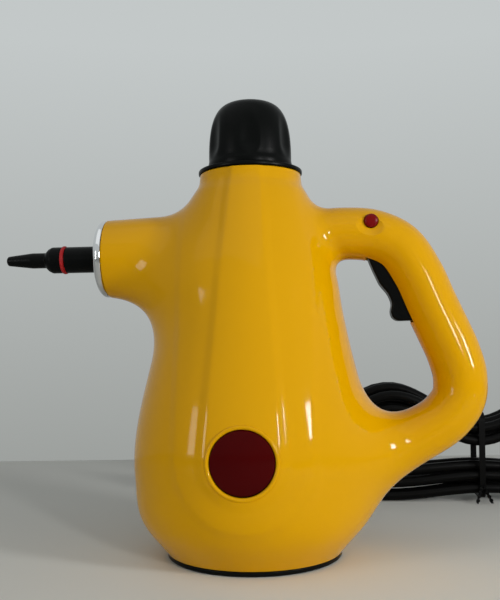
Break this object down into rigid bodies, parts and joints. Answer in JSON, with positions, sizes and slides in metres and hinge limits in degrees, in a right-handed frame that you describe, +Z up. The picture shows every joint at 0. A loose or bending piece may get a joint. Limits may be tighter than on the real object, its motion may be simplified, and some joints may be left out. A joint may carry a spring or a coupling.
{
  "type": "hand-held steam cleaner",
  "caption": "Hand-held steam cleaner with a blended clamshell body, spout nozzle, loop handle with trigger, screw filler cap, pilot-lamp lens and a tied mains cord.",
  "frame": {"origin": "on the body's axis, on the surface that the base plate stands on", "axes": "+Z up along the body's axis, +X towards the handle, -X towards the nozzle, -Y the side with the pilot lamp"},
  "size_m": [0.3736, 0.2441, 0.2359],
  "materials": {
    "yellow_abs": "gloss",
    "black_abs": "satin",
    "red_polycarbonate": "gloss",
    "red_silicone": "matte",
    "black_pvc": "satin",
    "chrome_plate": "mirror",
    "stainless_steel": "satin",
    "brass": "satin",
    "natural_nylon": "matte"
  },
  "bodies": {
    "housing": {"housing_left": "yellow_abs", "housing_right": "yellow_abs", "base_plate": "black_abs", "filler_collar": "black_abs", "outlet_nozzle": "black_abs", "cord_gland": "black_abs", "hank_tie": "black_abs", "plug_body": "black_abs", "indicator_lens": "red_polycarbonate", "pilot_lamp": "red_polycarbonate", "boiler_gasket": "red_silicone", "nozzle_o_ring": "red_silicone", "cord_hank": "black_pvc", "cord_lead": "black_pvc", "cord_tail": "black_pvc", "spout_bezel": "chrome_plate", "plug_pin_1": "chrome_plate", "plug_pin_2": "chrome_plate", "housing_screw_1": "stainless_steel", "housing_screw_2": "stainless_steel", "housing_screw_3": "stainless_steel", "housing_screw_4": "stainless_steel", "housing_screw_5": "stainless_steel", "boiler_bowl": "stainless_steel", "boiler_dome": "stainless_steel", "neck_tube": "stainless_steel", "boiler_bolt_1": "stainless_steel", "boiler_bolt_2": "stainless_steel", "boiler_bolt_3": "stainless_steel", "boiler_bolt_4": "stainless_steel", "heating_element": "stainless_steel", "thermostat": "stainless_steel", "return_spring": "stainless_steel", "trigger_pin": "stainless_steel", "steam_valve": "brass", "steam_riser": "brass", "steam_pipe": "brass", "thermal_fuse": "natural_nylon", "terminal_block": "natural_nylon", "lamp_holder": "natural_nylon"},
    "trigger": {"trigger": "black_abs"},
    "push_rod": {"push_rod": "stainless_steel"},
    "lock_button": {"lock_button": "red_polycarbonate"},
    "cap_seal": {"cap_seal": "red_silicone"},
    "cap": {"filler_cap": "black_abs", "cap_plug": "brass", "relief_spring": "stainless_steel"},
    "relief_poppet": {"relief_poppet": "brass"}
  },
  "joints": [
    {"name": "trigger_pull", "type": "hinge", "parent": "housing", "child": "trigger", "pos_m": [0.065, 0, 0.163], "axis": [0, -1, 0], "range_deg": [0, 12], "stiffness_Nm_per_rad": 0.6, "springref_deg": -11.46},
    {"name": "push_rod_slide", "type": "slide", "parent": "housing", "child": "push_rod", "axis": [-1, 0, 0], "range_m": [0, 0.0015], "deforming": ["return_spring"]},
    {"name": "lock_press", "type": "slide", "parent": "housing", "child": "lock_button", "axis": [0, 1, 0], "range_m": [0, 0.0025], "stiffness_N_per_m": 300, "springref_m": -0.002},
    {"name": "cap_rise", "type": "slide", "parent": "housing", "child": "cap_seal", "axis": [0, 0, 1], "range_m": [0, 0.01225]},
    {"name": "cap_turn", "type": "hinge", "parent": "cap_seal", "child": "cap", "pos_m": [0, 0, 0.2], "axis": [0, 0, 1], "range_deg": [0, 1260.5]},
    {"name": "relief_lift", "type": "slide", "parent": "cap", "child": "relief_poppet", "axis": [0, 0, 1], "range_m": [0, 0.0015], "stiffness_N_per_m": 1500, "springref_m": -0.004, "deforming": ["relief_spring"]}
  ],
  "couplings": [
    {"joint": "push_rod_slide", "follows": "trigger_pull", "m_per_rad": 0.007},
    {"joint": "cap_turn", "follows": "cap_rise", "rad_per_m": 1795.2}
  ]
}
